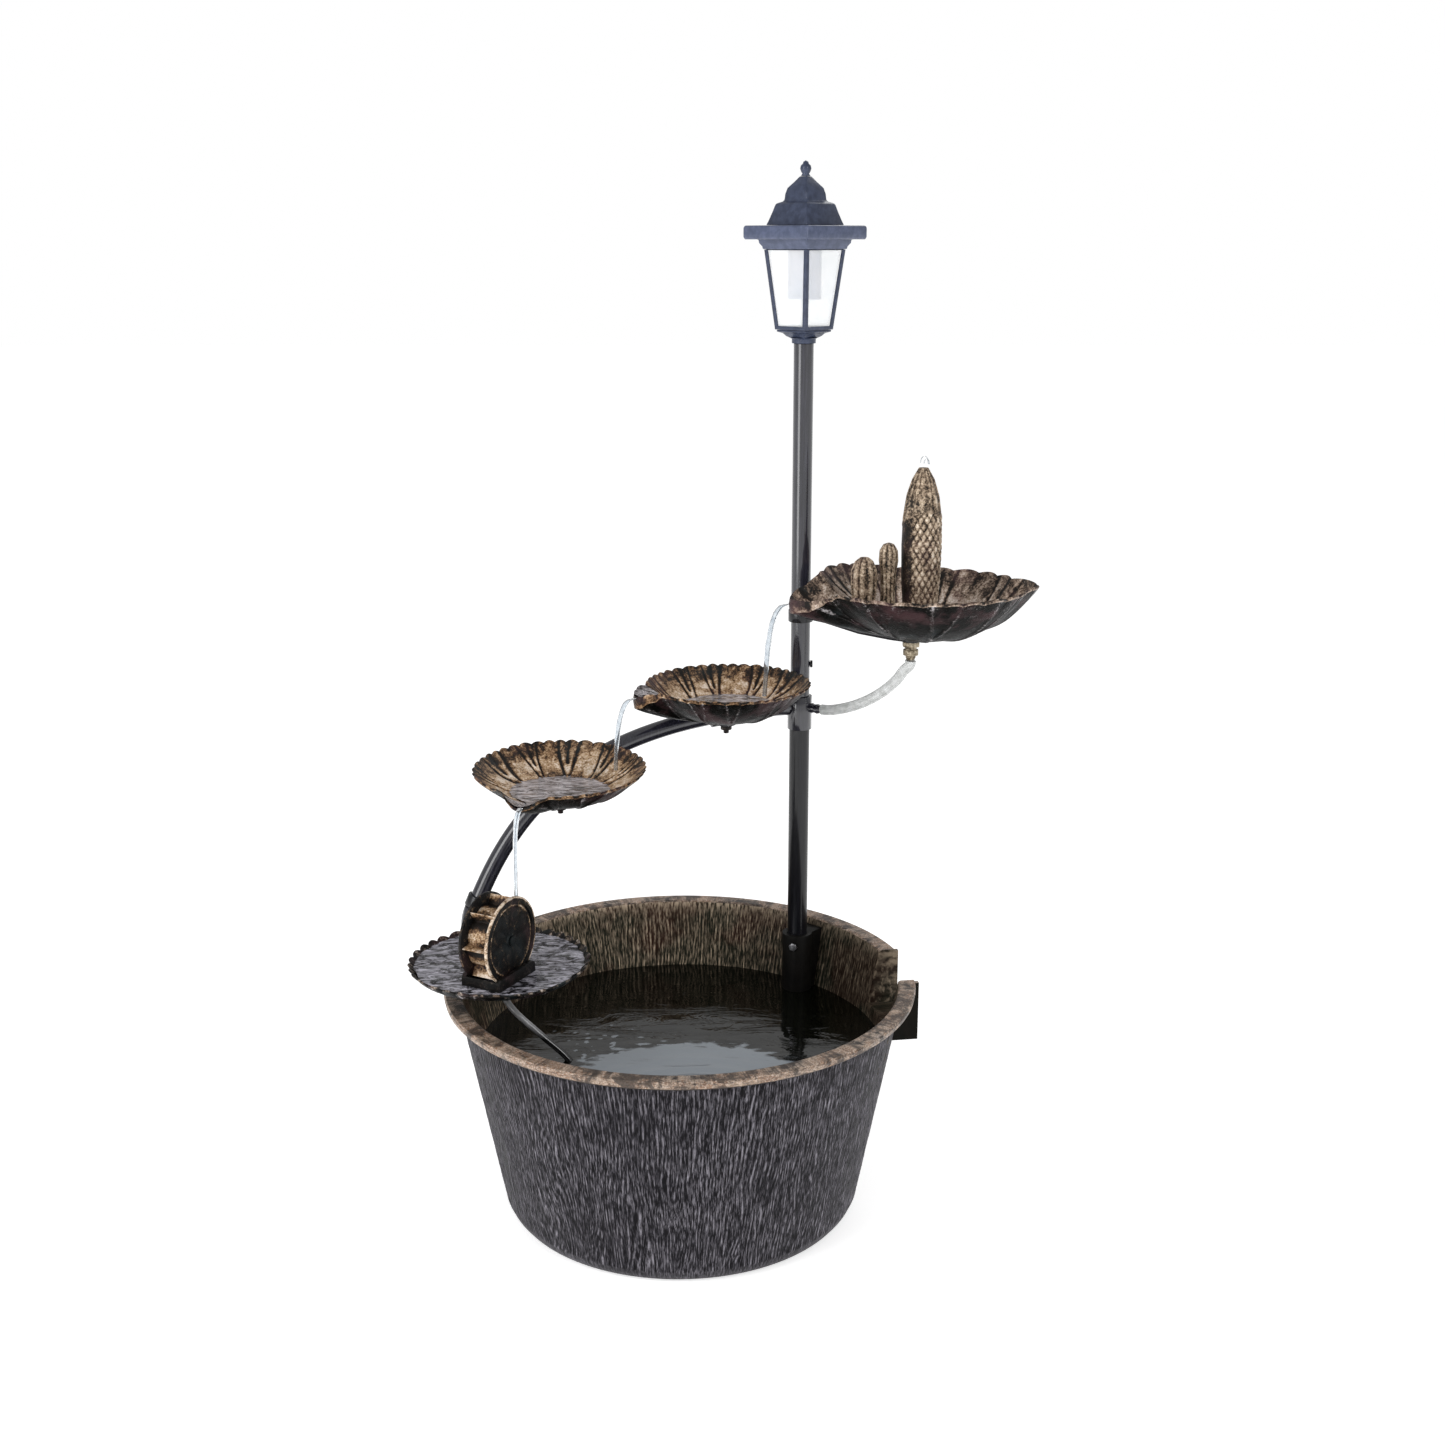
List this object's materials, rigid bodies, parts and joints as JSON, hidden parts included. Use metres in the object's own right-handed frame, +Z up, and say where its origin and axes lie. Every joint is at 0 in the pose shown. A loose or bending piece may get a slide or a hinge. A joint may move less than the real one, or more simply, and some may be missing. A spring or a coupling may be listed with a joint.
{
  "type": "tiered water fountain",
  "caption": "Tiered garden fountain: wood-look tub, lantern post and curved arm with leaf bowls stepping down to a small water wheel, fed by a submersible pump.",
  "frame": {"origin": "centre of the tub's flat base, on the ground", "axes": "+Z up, +Y to the back of the fountain, +X to the side the lantern post stands on"},
  "size_m": [0.5668, 0.43, 0.9376],
  "materials": {
    "barrel": "wood-grained, dry-brushed grey and tan",
    "post": "semi-gloss gunmetal",
    "bronze": "antique bronze with brushed gold highlights",
    "steel": "satin",
    "clear_hose": "translucent vinyl",
    "dark_hose": "smooth",
    "pump": "moulded",
    "rubber": "matte",
    "lamp": "satin slate",
    "pane": "frosted white",
    "led": "smooth",
    "diffuser": "ribbed translucent white"
  },
  "bodies": {
    "fountain": {"barrel_tub": "barrel", "post_socket": "barrel", "post_socket_bolt_lower": "steel", "post_socket_bolt_upper": "steel", "post_foot_screw": "steel", "lower_post": "post", "post_coupler": "post", "upper_post": "post", "upper_post_screw": "post", "lower_post_screw": "post", "arm_pipe": "post", "riser_elbow": "post", "leaf_clamp_1": "post", "leaf_clamp_2": "post", "leaf_clamp_3": "post", "leaf_clamp_4": "post", "leaf_tray_1": "bronze", "leaf_tray_2": "bronze", "leaf_tray_3": "bronze", "leaf_tray_4": "bronze", "leaf_bolt_2": "bronze", "leaf_bolt_3": "bronze", "leaf_bolt_4": "bronze", "leaf_nut_2": "bronze", "leaf_nut_3": "bronze", "leaf_nut_4": "bronze", "inlet_barb": "bronze", "inlet_nut": "bronze", "corn_spout": "bronze", "tall_bud": "bronze", "fluted_bud": "bronze", "supply_hose": "clear_hose", "supply_hose_collar": "bronze", "pump_hose": "dark_hose", "wheel_cradle": "bronze", "pump_housing": "pump", "pump_strainer": "pump", "pump_foot": "rubber", "cable_gland": "rubber", "lantern_neck": "lamp", "lantern_cage": "lamp", "lantern_pane_1": "pane", "lantern_pane_2": "pane", "lantern_pane_3": "pane", "lantern_pane_4": "pane"},
    "wheel": {"wheel_drum": "bronze", "wheel_front_disc": "bronze", "wheel_rear_disc": "bronze", "wheel_axle": "bronze"},
    "impeller": {"pump_impeller": "pump"},
    "dial": {"flow_dial": "pump"},
    "roof": {"lantern_eave": "lamp", "lantern_roof": "lamp", "lantern_finial": "lamp", "led_module": "led", "diffuser_tube": "diffuser"}
  },
  "joints": [
    {"name": "wheel_spin", "type": "hinge", "parent": "fountain", "child": "wheel", "pos_m": [-0.1566, -0.074, 0.2846], "axis": [0.891, -0.454, 0], "continuous": true},
    {"name": "impeller_spin", "type": "hinge", "parent": "fountain", "child": "impeller", "pos_m": [-0.086, -0.03, 0.0355], "axis": [0, 1, 0], "continuous": true},
    {"name": "flow_dial_turn", "type": "hinge", "parent": "fountain", "child": "dial", "pos_m": [-0.086, -0.06, 0.049], "axis": [0, -1, 0], "range_deg": [0, 90]},
    {"name": "roof_lift", "type": "slide", "parent": "fountain", "child": "roof", "axis": [0, 0, 1], "range_m": [0, 0.07]}
  ]
}
